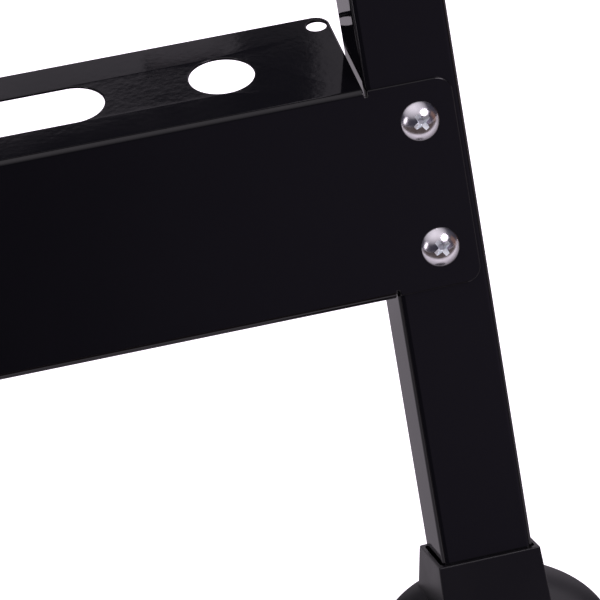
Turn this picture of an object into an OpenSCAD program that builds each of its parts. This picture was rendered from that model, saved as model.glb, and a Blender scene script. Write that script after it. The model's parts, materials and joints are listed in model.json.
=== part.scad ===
// Folding steel sawhorse: two tube-leg frames, each with a bent-sheet tool shelf, hang from a channel beam.
// X runs along the beam, -Y is the front frame, Z is up, and the origin is under the middle of the feet.

/* [Stance] */
// Height of the working surface
height = 740; // [680:5:820]
// Angle between an open leg and the vertical
splay = 25; // [22:0.5:27]
// Distance over the outer faces of a frame's two legs
leg_span = 600; // [560:10:640]

/* [Legs] */
// Width of the leg tube, along the beam
leg_w = 30; // [28:1:32]
// Depth of the leg tube
leg_t = 25; // [24:0.5:27]
// Wall of the leg tube
leg_wall = 1.5; // [1:0.1:2]
// Radius on the tube's long edges
leg_r = 2; // [1:0.5:3]

/* [Tool shelf] */
// Height of the shelf's upright web
web_h = 65.75; // [55:0.25:80]
// Depth of the level top flange
flange_d = 48.5; // [44:0.5:50]
// Depth of the bottom lip
lip_d = 12; // [8:1:16]
// Sheet thickness
sheet = 1; // [0.8:0.1:1.2]
// Outside radius of a bend
bend_r = 2.5; // [2:0.25:3]
// Height of the web's lower edge above the floor, at the leg's front face
shelf_height = 115.5; // [100:0.5:160]
// Radius on the tab corners and the flange's rear corners
tab_r = 5; // [3:0.5:6]
// Distance from a tab's end to the leg's outer face
tab_inset = 2.75; // [2:0.25:5]
// Diameter of the tool holes, and width of the slots
tool_hole_d = 20.8; // [18:0.2:24]
// Tool hole to the leg's inner face
tool_hole_x = 40.2; // [36:0.2:44]
// Tool holes and slots behind the web's outer face
tool_hole_y = 24.5; // [23:0.5:26]
// Near end of a slot to the leg's inner face
slot_x = 77.75; // [74:0.25:90]
// Length of a slot
slot_len = 154; // [80:2:160]
// Diameter of the corner holes
corner_hole_d = 6.5; // [4:0.5:7]

/* [Beam] */
// Length of the steel beam
beam_len = 690; // [660:10:760]
// Width of the beam
beam_w = 120; // [120:1:130]
// Depth of the beam's side walls
beam_h = 48; // [44:1:60]
// Beam and bracket sheet
beam_sheet = 2; // [1.5:0.5:3]
// Outside radius of the beam's two bends
beam_r = 4; // [3:0.5:6]
// Board holes, along the beam
board_hole_dx = 500; // [400:10:520]
// Board holes, across the beam
board_hole_dy = 84; // [70:2:96]
// Diameter of the board holes
board_hole_d = 5.5; // [4:0.5:6.5]

/* [Pivots] */
// Leg pivot to the middle of the beam
pivot_y = 38; // [37:0.5:40]
// Leg pivot below the working surface
pivot_drop = 24; // [24:0.5:28]
// Diameter of the pivot bolts
bolt_d = 8; // [8:1:8]
// Brace pivot below the leg pivot, along the leg
brace_drop = 300; // [240:10:360]
// Width of a brace link
link_w = 20; // [16:1:24]
// Thickness of a brace link
link_t = 2.5; // [2:0.5:3]

/* [Feet] */
// Radius of the round base
foot_r = 38.5; // [36:0.5:40]
// Height of the base's upright rim
foot_rim = 3; // [2:0.5:4]
// Rise of the dome above the rim
foot_dome = 11; // [8:0.5:13]
// Wall of the sleeve at its mouth
sleeve_wall = 1.9; // [1.6:0.1:2.5]
// Web's lower edge to the sleeve's mouth, along the leg
sleeve_drop = 89.5; // [80:0.5:100]

/* [Hidden] */
$fn = 64;

LEFT = -1;
RIGHT = 1;
BLACK = [0.07, 0.07, 0.08];
PLASTIC = [0.11, 0.11, 0.12];
ZINC = [0.78, 0.79, 0.81];
NYLON = [0.85, 0.85, 0.82];

over = 1;                 // how far a cutter runs past the face that it cuts
running = 0.05;           // radial clearance of a turning joint
layer_gap = 0.25;         // gap between flat parts that slide past each other

// Stance
pivot_z = height - pivot_drop;
leg_x = (leg_span - leg_w) / 2;
inner_x = leg_span / 2 - leg_w;
front_y = -leg_t / 2;     // front face of a leg, in the leg's own frame
web_drop = (pivot_z - front_y * sin(splay) - shelf_height) / cos(splay);
leg_top = 12;             // tube above its pivot
foot_sole = 2;            // plastic under the tube's lower end, above the rim
leg_bottom = (pivot_z - leg_t / 2 * sin(splay) - foot_rim - foot_sole) / cos(splay);

// Screws that hold the shelf tabs
screw_d = 6;
screw_hole_d = 6.5;
screw_heights = [13, 53.25];
screw_offset = 0.5;       // from the middle of the leg, outwards
head_d = 12.4;
head_h = 3.1;
nut_flats = 10;
nut_h = 5;
recess_w = 5.8;
recess_slot = 1.7;
recess_depth = 1.9;
recess_mouth = 9.8;       // width of the recess's cone, one `over` above the head
recess_turn = 32;         // from X to the first arm

// Shelf
web_front = front_y - sheet;
top_bend_z = web_h + bend_r * ((1 - sin(splay)) * tan(splay) - cos(splay));
flange_end_gap = 0.6;     // flange end to the leg's inner face
flange_half = inner_x - flange_end_gap;
relief_w = 1.2;           // slit between a tab and the bends
relief_h = 1.8;
corner_hole_x = 5;        // from the leg's inner face
corner_hole_y = 43.1;

// Beam and hinge brackets
beam_in = beam_w / 2 - beam_sheet;
bracket_t = 3;
ear_gap = leg_w + 3;      // between the two ears
ear_r = 15;
ear_w = 2 * (pivot_y + ear_r);
stop_clear = 0.3;
stop_drop = (beam_in - stop_clear - pivot_y - leg_t / 2 / cos(splay)) / tan(splay);
notch_w = leg_w + 8;
cap_t = 2.5;
cap_depth = 12;
cap_clear = 0.2;

// Pivot bolts
hex_flats = 13;
bolt_head_h = 5.3;
bolt_nut_h = 8;
bolt_tail = 2;            // bolt past its nut
bolt_clear = 0.4;         // ear hole over the bolt
nut_collar_h = 2;
nut_collar_d = 11.5;
washer_d = 16;
washer_t = (ear_gap - leg_w) / 2 - 0.1;

// Feet
foot_shift = 3;           // base centre outwards from the leg's axis at the floor
foot_y = -pivot_y - pivot_z * tan(splay) - foot_shift;
sleeve_draft = 1.6;       // how far each side has spread at the bottom
sleeve_r = 1.1;
sleeve_lean = 2.5;        // extra slope of the sleeve's front face, in degrees
pocket_clear = 0.1;       // foot pocket around the tube
tread_radii = [14, 21, 28];
tread_w = 3;
tread_depth = 1.2;

// Braces: two flat links a side, joined above the middle when folded
brace_half = pivot_y + brace_drop * sin(splay);
brace_z = pivot_z - brace_drop * cos(splay);
rivet_d = 6;
rivet_head_d = 12;
rivet_head_h = 2.2;

// Puts the children, drawn in the front leg's frame, where the open front leg stands.
// That frame has its origin on the leg pivot, Z up along the leg and -Y out of its front face.
module on_front_leg() {
  translate([0, -pivot_y, pivot_z]) rotate([-splay, 0, 0]) children();
}

// Draws the children for the front frame (-1) or mirrored for the rear frame (1)
module frame_side(side) {
  if (side < 0) children();
  else mirror([0, 1, 0]) children();
}

// Draws the children for the right end (1) or mirrored for the left end (-1)
module end_side(end) {
  if (end > 0) children();
  else mirror([1, 0, 0]) children();
}

// Extrudes a (Y, Z) outline along X, centred
module along_x(length) {
  rotate([90, 0, 90]) linear_extrude(length, center = true) children();
}

// A rectangle with round corners, centred
module round_rect(w, d, r) {
  square([w - 2 * r, d], center = true);
  square([w, d - 2 * r], center = true);
  for (x = [-1, 1], y = [-1, 1])
    translate([x * (w / 2 - r), y * (d / 2 - r)]) circle(r);
}

// Points along an arc, from one angle to another
function arc(centre, r, from, to, steps = 12) =
  [for (i = [0:steps]) centre + r * [cos(from + (to - from) * i / steps), sin(from + (to - from) * i / steps)]];

// A hexagon measured over its flats
module hexagon(flats) {
  circle(d = flats / cos(30), $fn = 6);
}

// A domed head, rising along Z from its flat seat
module dome(d, h) {
  ball = (d * d / 4 + h * h) / (2 * h);
  intersection() {
    translate([0, 0, h - ball]) sphere(ball, $fn = 96);
    cylinder(h = h + over, d = d);
  }
}

// A cross recess, cut down from Z = 0 and narrowing to a blunt point
module cross_recess() {
  intersection() {
    for (turn = [recess_turn, recess_turn + 90])
      rotate(turn) translate([-recess_w / 2, -recess_slot / 2, -recess_depth])
        cube([recess_w, recess_slot, recess_depth + over]);
    translate([0, 0, -recess_depth])
      cylinder(h = recess_depth + over, d1 = recess_slot, d2 = recess_mouth);
  }
}

// ---- Beam ----

module beam_outline() {
  bottom = height - beam_h;
  bend_y = beam_w / 2 - beam_r;
  bend_z = height - beam_r;
  inner_r = beam_r - beam_sheet;
  polygon(concat(
    [[beam_in, bottom], [beam_w / 2, bottom]],
    arc([bend_y, bend_z], beam_r, 0, 90), arc([-bend_y, bend_z], beam_r, 90, 180),
    [[-beam_w / 2, bottom], [-beam_in, bottom]],
    arc([-bend_y, bend_z], inner_r, 180, 90), arc([bend_y, bend_z], inner_r, 90, 0)));
}

module top_beam() {
  notch_h = beam_h - pivot_drop - stop_drop;
  color(BLACK) difference() {
    along_x(beam_len) beam_outline();
    for (x = [-leg_x, leg_x]) {
      translate([x - notch_w / 2, -beam_w, height - beam_h - over])
        cube([notch_w, 2 * beam_w, notch_h + over]);
    }
    for (x = [-1, 1], y = [-1, 1])
      translate([x * board_hole_dx / 2, y * board_hole_dy / 2, height - beam_sheet - over])
        cylinder(h = beam_sheet + 2 * over, d = board_hole_d);
  }
}

// Fills the beam's end: a plate outside and a U-shaped rim inside the channel
module beam_cap(end) {
  rim_w = 2 * (beam_in - cap_clear);
  rim_h = beam_h - beam_sheet - cap_clear;
  rim_mid = height - beam_sheet - cap_clear - rim_h / 2;
  color(PLASTIC) end_side(end) translate([beam_len / 2, 0, 0]) {
    translate([cap_t / 2, 0, height - beam_h / 2])
      along_x(cap_t) round_rect(beam_w, beam_h, beam_r);
    translate([-cap_depth / 2, 0, 0]) along_x(cap_depth) difference() {
      translate([0, rim_mid]) square([rim_w, rim_h], center = true);
      translate([0, rim_mid - cap_t]) square([rim_w - 2 * cap_t, rim_h], center = true);
    }
  }
}

module ear_outline() {
  plate_z = height - beam_sheet;
  difference() {
    union() {
      translate([0, (plate_z + pivot_z) / 2]) square([ear_w, plate_z - pivot_z], center = true);
      translate([0, pivot_z - ear_r / 2]) square([2 * pivot_y, ear_r], center = true);
      for (y = [-pivot_y, pivot_y]) translate([y, pivot_z]) circle(ear_r);
    }
    for (y = [-pivot_y, pivot_y]) translate([y, pivot_z]) circle(d = bolt_d + bolt_clear);
    translate([0, pivot_z - ear_r / 2]) circle(ear_r);
  }
}

module hinge_bracket(end) {
  color(BLACK) translate([end * leg_x, 0, 0]) {
    for (side = [-1, 1])
      translate([side * (ear_gap + bracket_t) / 2, 0, 0]) along_x(bracket_t) ear_outline();
    translate([0, 0, height - beam_sheet - bracket_t / 2])
      cube([ear_gap + bracket_t, ear_w, bracket_t], center = true);
  }
}

// ---- Pivot hardware: a bolt, a lock nut and two washers at each leg ----

// Puts the children at each leg pivot with Z pointing outwards along the beam
module at_pivots() {
  for (end = [LEFT, RIGHT], y = [-pivot_y, pivot_y])
    translate([end * leg_x, y, pivot_z]) rotate([0, end * 90, 0]) children();
}

module pivot_bolts() {
  seat = ear_gap / 2 + bracket_t;
  grip = 2 * seat + bolt_nut_h + bolt_tail;
  color(ZINC) at_pivots() {
    translate([0, 0, seat]) linear_extrude(bolt_head_h) hexagon(hex_flats);
    translate([0, 0, seat - grip]) cylinder(h = grip + over, d = bolt_d);
  }
}

module pivot_nuts() {
  seat = ear_gap / 2 + bracket_t;
  color(ZINC) at_pivots() translate([0, 0, -seat - bolt_nut_h]) difference() {
    union() {
      translate([0, 0, nut_collar_h]) linear_extrude(bolt_nut_h - nut_collar_h) hexagon(hex_flats);
      cylinder(h = nut_collar_h + over, d = nut_collar_d);
    }
    translate([0, 0, -over]) cylinder(h = bolt_nut_h + 2 * over, d = bolt_d);
  }
}

module pivot_washers() {
  color(NYLON) at_pivots() for (side = [-1, 1])
    translate([0, 0, side * (ear_gap - washer_t) / 2]) difference() {
      cylinder(h = washer_t, d = washer_d, center = true);
      cylinder(h = washer_t + over, d = bolt_d + 2 * running, center = true);
    }
}

// ---- Legs ----

// The tube's outline, grown all round by a margin
module tube_outline(grow) {
  round_rect(leg_w + 2 * grow, leg_t + 2 * grow, leg_r + grow);
}

// Puts the children at each of a frame's two screw places, with Z out of the leg's front face
module at_screws(end) {
  for (s = screw_heights)
    translate([end * (leg_x + screw_offset), front_y, s - web_drop]) rotate([90, 0, 0]) children();
}

module leg(side, end) {
  color(BLACK) frame_side(side) on_front_leg() difference() {
    translate([end * leg_x, 0, -leg_bottom]) linear_extrude(leg_bottom + leg_top) difference() {
      tube_outline(0);
      tube_outline(-leg_wall);
    }
    rotate([0, 90, 0]) translate([0, 0, end * leg_x])
      cylinder(h = leg_w + 2 * over, d = bolt_d + 2 * running, center = true);
    translate([end * leg_x, 0, -brace_drop]) rotate([0, 90, 0])
      cylinder(h = leg_w + 2 * over, d = rivet_d, center = true);
    at_screws(end) translate([0, 0, -leg_t - over]) cylinder(h = leg_t + 2 * over, d = screw_hole_d);
  }
}

// Closes the tube's upper end
module leg_plugs(side) {
  plug_t = 1.5;
  plug_depth = 5;
  plug_inset = 0.5;
  plug_clear = 0.1;
  color(PLASTIC) frame_side(side) on_front_leg() for (end = [LEFT, RIGHT])
    translate([end * leg_x, 0, leg_top]) {
      linear_extrude(plug_t) tube_outline(-plug_inset);
      translate([0, 0, -plug_depth]) linear_extrude(plug_depth + plug_t) tube_outline(-leg_wall - plug_clear);
    }
}

// ---- Feet: a drafted sleeve on a round domed base that sits level ----

module sleeve() {
  slice = 0.1;
  mouth_z = -web_drop - sleeve_drop;
  mouth_back = leg_t / 2 + sleeve_wall;
  back_y = -pivot_y + mouth_back * cos(splay) + mouth_z * sin(splay);
  foot_z = foot_rim / 2;
  mouth_front_z = pivot_z + mouth_back * sin(splay) + mouth_z * cos(splay);
  mouth_front_y = -pivot_y - mouth_back * cos(splay) + mouth_z * sin(splay);
  front_reach = mouth_front_y - (mouth_front_z - foot_z) * tan(splay + sleeve_lean);
  hull() {
    on_front_leg() translate([0, 0, mouth_z - slice]) linear_extrude(slice)
      round_rect(leg_w + 2 * sleeve_wall, leg_t + 2 * sleeve_wall, sleeve_r, $fn = 32);
    translate([0, (front_reach + back_y) / 2, foot_z]) linear_extrude(slice)
      round_rect(leg_w + 2 * (sleeve_wall + sleeve_draft), back_y - front_reach, sleeve_r, $fn = 32);
  }
}

module foot(side, end) {
  color(PLASTIC) frame_side(side) translate([end * leg_x, 0, 0]) difference() {
    union() {
      translate([0, foot_y, 0]) cylinder(h = foot_rim, r = foot_r);
      translate([0, foot_y, foot_rim]) dome(2 * foot_r, foot_dome);
      sleeve();
    }
    on_front_leg() translate([0, 0, -leg_bottom]) linear_extrude(leg_bottom) tube_outline(pocket_clear);
    for (r = tread_radii) translate([0, foot_y, -over]) difference() {
      cylinder(h = over + tread_depth, r = r + tread_w / 2);
      cylinder(h = over + tread_depth, r = r - tread_w / 2);
    }
  }
}

// ---- Tool shelf: one bent sheet with a tab on the front of each leg ----

// (Y, Z) section between the legs, with Z from the web's lower edge
module shelf_section() {
  lip_end = web_front + lip_d;
  bend_y = web_front + bend_r;
  inner_r = bend_r - sheet;
  up = 90 + splay;        // direction out of the flange's top face
  flange_end = [web_front, web_h] + flange_d * [cos(splay), sin(splay)];
  polygon(concat(
    [[lip_end, sheet], [lip_end, 0]],
    arc([bend_y, bend_r], bend_r, 270, 180), arc([bend_y, top_bend_z], bend_r, 180, up),
    [flange_end, flange_end - sheet * [cos(up), sin(up)]],
    arc([bend_y, top_bend_z], inner_r, up, 180), arc([bend_y, bend_r], inner_r, 180, 270)));
}

// What rounding takes off a corner that points along +X +Y
module corner_waste(r) {
  difference() {
    translate([-r, -r]) square(r + over);
    translate([-r, -r]) circle(r);
  }
}

module flange_holes() {
  slot_near = inner_x - slot_x - tool_hole_d / 2;
  slot_far = slot_near - slot_len + tool_hole_d;
  translate([0, tool_hole_y]) circle(d = tool_hole_d);
  for (end = [LEFT, RIGHT]) {
    translate([end * (inner_x - corner_hole_x), corner_hole_y]) circle(d = corner_hole_d);
    translate([end * (inner_x - tool_hole_x), tool_hole_y]) circle(d = tool_hole_d);
    for (x = [slot_near, slot_far]) translate([end * x, tool_hole_y]) circle(d = tool_hole_d);
    translate([end * (slot_near + slot_far) / 2, tool_hole_y])
      square([slot_near - slot_far, tool_hole_d], center = true);
  }
}

// Puts the children on the flange: X along the beam, Y back from the web's outer face, Z = 0 the top face
module on_flange() {
  translate([0, web_front, web_h]) rotate([splay, 0, 0]) children();
}

module shelf(side) {
  tab_w = leg_span - 2 * tab_inset;
  color(BLACK) frame_side(side) on_front_leg() translate([0, 0, -web_drop]) difference() {
    union() {
      along_x(2 * flange_half) shelf_section();
      translate([0, front_y, web_h / 2]) rotate([90, 0, 0]) linear_extrude(sheet) difference() {
        round_rect(tab_w, web_h, tab_r);
        square([2 * flange_half, 2 * web_h], center = true);
      }
    }
    on_flange() translate([0, 0, -sheet - over]) linear_extrude(sheet + 2 * over) {
      flange_holes();
      translate([flange_half, flange_d]) corner_waste(tab_r);
      translate([-flange_half, flange_d]) mirror([1, 0]) corner_waste(tab_r);
    }
    for (end = [LEFT, RIGHT], z = [0, web_h])
      translate([end * (flange_half + relief_w / 2), web_front + sheet / 2, z])
        cube([relief_w, 2 * sheet, 2 * relief_h], center = true);
    for (end = [LEFT, RIGHT]) translate([0, 0, web_drop]) at_screws(end)
      translate([0, 0, -over]) cylinder(h = sheet + 2 * over, d = screw_hole_d);
  }
}

// Cross-recess screws right through tab and tube
module shelf_screws(side) {
  nut_tail = 2;
  color(ZINC) frame_side(side) on_front_leg() for (end = [LEFT, RIGHT]) at_screws(end)
    translate([0, 0, sheet]) difference() {
      union() {
        dome(head_d, head_h);
        translate([0, 0, -sheet - leg_t - nut_h - nut_tail])
          cylinder(h = sheet + leg_t + nut_h + nut_tail + over, d = screw_d);
      }
      translate([0, 0, head_h]) cross_recess();
    }
}

module shelf_nuts(side) {
  color(ZINC) frame_side(side) on_front_leg() for (end = [LEFT, RIGHT]) at_screws(end)
    translate([0, 0, -leg_t - nut_h]) difference() {
      linear_extrude(nut_h) hexagon(nut_flats);
      translate([0, 0, -over]) cylinder(h = nut_h + 2 * over, d = screw_d);
    }
}

// ---- Folding braces, inboard of the legs ----

// How far in from the leg's inner face each link's outer side lies
function link_offset(side) = side < 0 ? layer_gap : 2 * layer_gap + link_t;

// Puts the children on a leg's brace pivot, with Z = 0 the leg's inner face and Z rising outwards
module at_brace_pivot(end) {
  translate([end * inner_x, -brace_half, brace_z]) rotate([0, end * 90, 0]) children();
}

// A flat link from the leg to the middle of the sawhorse
module brace_link(side, end) {
  color(BLACK) frame_side(side) translate([end * (inner_x - link_offset(side) - link_t / 2), 0, brace_z])
    along_x(link_t) difference() {
      union() {
        translate([-brace_half, -link_w / 2]) square([brace_half, link_w]);
        for (y = [-brace_half, 0]) translate([y, 0]) circle(d = link_w);
      }
      translate([-brace_half, 0]) circle(d = rivet_d + 2 * running);
      circle(d = rivet_d);
    }
}

// Half of the middle rivet: a head on the link's open side and a shank as long as the link is thick
module brace_rivet(side, end) {
  face = side < 0 ? link_offset(side) : link_offset(side) + link_t;
  outward = side < 0 ? 1 : -1;
  color(ZINC) translate([end * (inner_x - face), 0, brace_z]) rotate([0, end * outward * 90, 0]) {
    dome(rivet_head_d, rivet_head_h);
    translate([0, 0, -link_t]) cylinder(h = link_t + over, d = rivet_d);
  }
}

// Rivets through the leg tubes, on which the links turn
module leg_rivets(side) {
  inner_seat = link_offset(side) + link_t + layer_gap;
  shank = leg_w + inner_seat;
  color(ZINC) frame_side(side) for (end = [LEFT, RIGHT]) at_brace_pivot(end) {
    translate([0, 0, -inner_seat]) cylinder(h = shank, d = rivet_d);
    translate([0, 0, leg_w]) dome(rivet_head_d, rivet_head_h);
    translate([0, 0, -inner_seat]) rotate([180, 0, 0]) dome(rivet_head_d, rivet_head_h);
  }
}

// Spacers that hold the rear links clear of the front ones
module brace_spacers() {
  spacer_t = link_offset(1) - layer_gap;
  color(ZINC) frame_side(1) for (end = [LEFT, RIGHT]) at_brace_pivot(end)
    translate([0, 0, -spacer_t]) difference() {
      cylinder(h = spacer_t, d = rivet_head_d);
      translate([0, 0, -over]) cylinder(h = spacer_t + 2 * over, d = rivet_d);
    }
}

top_beam();
beam_cap(LEFT);  // beam_cap_left
beam_cap(RIGHT);  // beam_cap_right
hinge_bracket(LEFT);  // hinge_bracket_left
hinge_bracket(RIGHT);  // hinge_bracket_right
pivot_bolts();
pivot_nuts();
pivot_washers();
leg(-1, LEFT);  // leg_front_left
leg(-1, RIGHT);  // leg_front_right
leg(1, LEFT);  // leg_rear_left
leg(1, RIGHT);  // leg_rear_right
leg_plugs(-1);  // leg_plugs_front
leg_plugs(1);  // leg_plugs_rear
foot(-1, LEFT);  // foot_front_left
foot(-1, RIGHT);  // foot_front_right
foot(1, LEFT);  // foot_rear_left
foot(1, RIGHT);  // foot_rear_right
shelf(-1);  // shelf_front
shelf(1);  // shelf_rear
shelf_screws(-1);  // shelf_screws_front
shelf_screws(1);  // shelf_screws_rear
shelf_nuts(-1);  // shelf_nuts_front
shelf_nuts(1);  // shelf_nuts_rear
brace_link(-1, LEFT);  // brace_link_front_left
brace_link(-1, RIGHT);  // brace_link_front_right
brace_link(1, LEFT);  // brace_link_rear_left
brace_link(1, RIGHT);  // brace_link_rear_right
brace_rivet(-1, LEFT);  // brace_rivet_front_left
brace_rivet(-1, RIGHT);  // brace_rivet_front_right
brace_rivet(1, LEFT);  // brace_rivet_rear_left
brace_rivet(1, RIGHT);  // brace_rivet_rear_right
leg_rivets(-1);  // leg_rivets_front
leg_rivets(1);  // leg_rivets_rear
brace_spacers();  // brace_spacers_rear
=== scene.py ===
"""Folding steel sawhorse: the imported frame's nodes with finishes, detailed pieces, studio and camera.

Lengths in the tables are millimetres, as in the CAD source; everything handed to Blender is in metres.
"""

import json
import math

import bmesh
import bpy
from mathutils import Matrix, Vector
from mathutils.geometry import tessellate_polygon


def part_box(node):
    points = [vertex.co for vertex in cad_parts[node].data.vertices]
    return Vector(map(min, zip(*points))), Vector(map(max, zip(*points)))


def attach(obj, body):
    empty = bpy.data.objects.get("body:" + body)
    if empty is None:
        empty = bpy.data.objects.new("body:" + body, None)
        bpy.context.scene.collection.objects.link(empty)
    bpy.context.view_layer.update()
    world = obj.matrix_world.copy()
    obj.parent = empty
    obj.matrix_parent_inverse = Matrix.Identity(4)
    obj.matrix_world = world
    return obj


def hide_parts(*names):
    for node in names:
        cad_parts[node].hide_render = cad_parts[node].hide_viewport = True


MM = 0.001

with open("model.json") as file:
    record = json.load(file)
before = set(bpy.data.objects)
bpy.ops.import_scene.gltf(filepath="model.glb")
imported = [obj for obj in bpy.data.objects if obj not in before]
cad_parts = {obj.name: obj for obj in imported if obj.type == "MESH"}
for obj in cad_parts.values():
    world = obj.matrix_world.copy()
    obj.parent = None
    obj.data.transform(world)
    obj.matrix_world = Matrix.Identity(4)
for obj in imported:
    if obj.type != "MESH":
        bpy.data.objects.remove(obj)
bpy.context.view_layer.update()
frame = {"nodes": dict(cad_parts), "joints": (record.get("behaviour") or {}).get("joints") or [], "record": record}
joints = {j["name"]: j for j in frame["joints"]}

# ---- Places taken from the frame ----

PIVOT = Vector(joints["front_fold"]["pos_m"]) / MM
SPLAY = math.radians(joints["front_fold"]["range_deg"][1])
INNER_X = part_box("leg_front_right")[0].x / MM
OUTER_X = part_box("leg_front_right")[1].x / MM
LEG_X = (INNER_X + OUTER_X) / 2

LEG_W, LEG_T = OUTER_X - INNER_X, 25.0
LEG_WALL, LEG_R = 1.5, 2.0
LEG_TOP = 12.0             # tube above its pivot
SHEET, SHEET_EDGE = 1.0, 0.42  # thickness, and the rounding of its edges
BEND_R = 2.5
WEB_DROP = 668.41          # web's lower edge below the leg pivot, along the leg
WEB_FRONT = -LEG_T / 2 - SHEET
WEB_H, FLANGE_D, LIP_D = 65.75, 48.5, 12.0
WEB_DIP = 0.75             # lower bend below the tabs' lower edge
FLANGE_GAP, TAB_INSET, TAB_R = 0.6, 2.75, 5.0
RELIEF_W, RELIEF_H, RELIEF_R = 1.2, 1.8, 0.42
LIP_CORNER_R, TAB_INNER_R = 1.5, 0.4
TOOL_HOLE_R, TOOL_HOLE_X, TOOL_HOLE_Y = 10.4, 40.2, 24.5
SLOT_X, SLOT_LEN = 77.75, 154.0
CORNER_HOLE, CORNER_HOLE_R = (5.0, 43.1), 3.25
SCREW_HEIGHTS, SCREW_OFFSET, SCREW_HOLE_R = (13.0, 53.25), 0.5, 3.25
SCREW_NUT_FLATS, SCREW_NUT_H = 10.0, 5.0
HEAD_D, HEAD_H = 12.4, 3.1
HEAD_RIM = 0.3             # upright rim under a head's dome
RECESS_TURN = math.radians(32)
# Driver recess at four depths: height above the head's top, a wing's reach, half its width
RECESS_LEVELS = ((-1.9, 0.8, 0.42), (-1.5, 1.3, 0.48), (-0.5, 2.85, 0.68), (1.0, 4.4, 0.9))
RECESS_SHARE = 0.3         # the recess stays within this share of the head's width from its axis
SCREW_R, SCREW_PITCH, SCREW_THREAD, SCREW_THREAD_LEN = 3.0, 1.0, 0.45, 9
TOP_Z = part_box("top_beam")[1].z / MM
BEAM_LEN = 2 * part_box("top_beam")[1].x / MM
BEAM_W = 2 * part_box("top_beam")[1].y / MM
BEAM_H, BEAM_SHEET, BEAM_R = 48.0, 2.0, 4.0
BEAM_CORNER_R, BEAM_EDGE = 0.8, 0.5
NOTCH_W, NOTCH_H, NOTCH_R = 38.0, 11.33, 2.0
BOARD_DX, BOARD_DY, BOARD_R = 500.0, 84.0, 2.75
CAP_T, CAP_DEPTH, CAP_EDGE, CAP_SINK = 2.5, 12.0, 0.8, 0.5
CAP_CLEAR, RIM_CORNER_R, RIM_EDGE = 0.2, 0.4, 0.3
EAR_GAP, EAR_R, BRACKET_T = 33.0, 15.0, 3.0
BRACKET_BEND_R, BRACKET_HOLE_R, BRACKET_EDGE = 4.5, 4.2, 0.6
HEX_FLATS, BOLT_HEAD_H, PIVOT_NUT_H = 13.0, 5.3, 8.0
BOLT_R, BOLT_PITCH, BOLT_THREAD, BOLT_THREAD_LEN = 4.0, 1.25, 0.55, 14
LOCK_COLLAR_R, LOCK_COLLAR_H = 5.75, 2.0
TAIL = 2                   # bolts and screws past their nuts
WASHER_D, WASHER_T, WASHER_BORE_R, WASHER_EDGE = 16.0, 1.4, 4.05, 0.2
PLUG_CAP_T, PLUG_DEPTH, PLUG_INSET, PLUG_CLEAR, PLUG_EDGE = 1.5, 5.5, 0.5, 0.1, 0.6
LINK_W, LINK_T, LAYER_GAP, LINK_EDGE = 20.0, 2.5, 0.25, 0.5
RIVET_R, RIVET_HEAD_D, RIVET_HEAD_H = 3.0, 12.0, 2.2
SPACER_R, SPACER_EDGE = 6.0, 0.15
FOOT_R, FOOT_RIM, FOOT_DOME = 38.5, 3.0, 11.0
TREAD_RADII, TREAD_HALF, TREAD_DEPTH, TREAD_DRAFT = (14.0, 21.0, 28.0), 1.5, 1.2, 0.3
SLEEVE_WALL, SLEEVE_DROP, SLEEVE_DRAFT = 1.9, 89.5, 1.6
SLEEVE_LEAN = math.radians(2.5)  # front wall's draft beyond the leg's splay
SLEEVE_R, SLEEVE_EDGE, SLEEVE_FOOT = 0.6, 0.4, 1.5
POCKET_CLEAR = 0.12
MOUTH_GAP = 0.65           # flare of the leg's pocket at the sleeve's mouth
SHARP_ANGLE = math.radians(40)


def leg_frame():
    """The open front leg's own frame: origin on its pivot, Z up along it, -Y out of its front face."""
    return Matrix.Translation((0, PIVOT.y, PIVOT.z)) @ Matrix.Rotation(-SPLAY, 4, "X")


# ---- Materials ----


class Nodes:
    """A material's node tree with short calls to add and join nodes."""

    def __init__(self, name):
        self.material = bpy.data.materials.new(name)
        self.material.use_nodes = True
        self.tree = self.material.node_tree
        self.shader = self.tree.nodes["Principled BSDF"]
        self.coord = self.add("ShaderNodeTexCoord").outputs["Object"]

    def add(self, kind, **settings):
        node = self.tree.nodes.new(kind)
        for key, value in settings.items():
            setattr(node, key, value)
        return node

    def join(self, source, target):
        self.tree.links.new(source, target)

    def noise(self, scale, detail=2.0, roughness=0.5):
        node = self.add("ShaderNodeTexNoise")
        node.inputs["Scale"].default_value = scale
        node.inputs["Detail"].default_value = detail
        node.inputs["Roughness"].default_value = roughness
        self.join(self.coord, node.inputs["Vector"])
        return node.outputs["Fac"]

    def spread(self, value, low, high, start=0.3, end=0.7):
        """Maps start..end of a value to low..high."""
        node = self.add("ShaderNodeMapRange")
        node.inputs["From Min"].default_value = start
        node.inputs["From Max"].default_value = end
        node.inputs["To Min"].default_value = low
        node.inputs["To Max"].default_value = high
        self.join(value, node.inputs["Value"])
        return node.outputs["Result"]

    def mix(self, factor, a, b):
        node = self.add("ShaderNodeMix", data_type="RGBA")
        self.join(factor, node.inputs["Factor"])
        for socket, value in ((node.inputs["A"], a), (node.inputs["B"], b)):
            if isinstance(value, bpy.types.NodeSocket):
                self.join(value, socket)
            else:
                socket.default_value = (*value, 1)
        return node.outputs["Result"]

    def bump(self, height, distance, strength=1.0, normal=None):
        node = self.add("ShaderNodeBump")
        node.inputs["Strength"].default_value = strength
        node.inputs["Distance"].default_value = distance
        self.join(height, node.inputs["Height"])
        if normal:
            self.join(normal, node.inputs["Normal"])
        return node.outputs["Normal"]


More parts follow.
